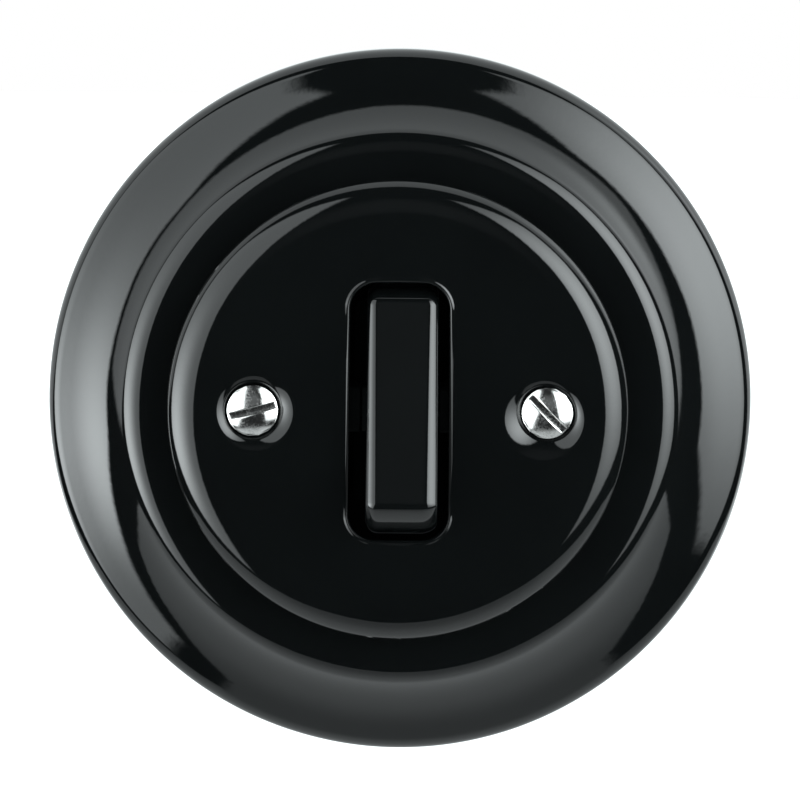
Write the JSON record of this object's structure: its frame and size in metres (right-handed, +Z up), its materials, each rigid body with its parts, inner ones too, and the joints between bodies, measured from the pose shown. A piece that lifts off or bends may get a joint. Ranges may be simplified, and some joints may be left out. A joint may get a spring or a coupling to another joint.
{
  "type": "porcelain light switch",
  "caption": "Round flush wall switch with a moulded black porcelain frame, a domed screw-held cover and a tilting rocker key that throws a changeover contact.",
  "frame": {"origin": "centre of the wall plane, midway between the two box screws", "axes": "+Z up the wall, +X to the right seen from the room, +Y into the wall, so the front faces -Y"},
  "size_m": [0.1, 0.0476, 0.1],
  "materials": {
    "black_porcelain": "gloss glaze",
    "plated_screw": "bright plated",
    "fibre_washer": "matte",
    "brass_part": "machined",
    "zinc_steel": "zinc plated",
    "ivory_moulding": "satin moulded",
    "dark_moulding": "satin moulded",
    "natural_moulding": "satin moulded",
    "spring_steel": "drawn wire",
    "silver_contact": "polished"
  },
  "bodies": {
    "fixed_parts": {"frame_ring": "black_porcelain", "cover_plate": "black_porcelain", "cover_screws": "plated_screw", "screw_washers": "fibre_washer", "cover_pillars": "brass_part", "mounting_strap": "zinc_steel", "mechanism_base": "ivory_moulding", "mechanism_lid": "dark_moulding", "lid_screws": "zinc_steel", "pivot_pin": "zinc_steel", "common_terminal": "brass_part", "upper_terminal": "brass_part", "lower_terminal": "brass_part", "fixed_contacts": "silver_contact", "terminal_screws": "zinc_steel"},
    "rocker": {"rocker_key": "black_porcelain", "rocker_cradle": "dark_moulding", "plunger_spring": "spring_steel"},
    "plunger_body": {"plunger": "natural_moulding"},
    "lever": {"contact_lever": "brass_part", "lever_contacts": "silver_contact"}
  },
  "joints": [
    {"name": "rocker_tilt", "type": "hinge", "parent": "fixed_parts", "child": "rocker", "pos_m": [0, -0.017, 0], "axis": [1, 0, 0], "range_deg": [0, 20]},
    {"name": "plunger_slide", "type": "slide", "parent": "rocker", "child": "plunger_body", "axis": [0, -0.9848, 0.1736], "range_m": [0, 0.0008], "stiffness_N_per_m": 400, "springref_m": -0.001, "deforming": ["plunger_spring"]},
    {"name": "lever_tilt", "type": "hinge", "parent": "fixed_parts", "child": "lever", "pos_m": [0, -0.0016, 0], "axis": [1, 0, 0], "range_deg": [-12, 0]}
  ],
  "couplings": [
    {"joint": "lever_tilt", "follows": "rocker_tilt", "ratio": -0.6}
  ]
}
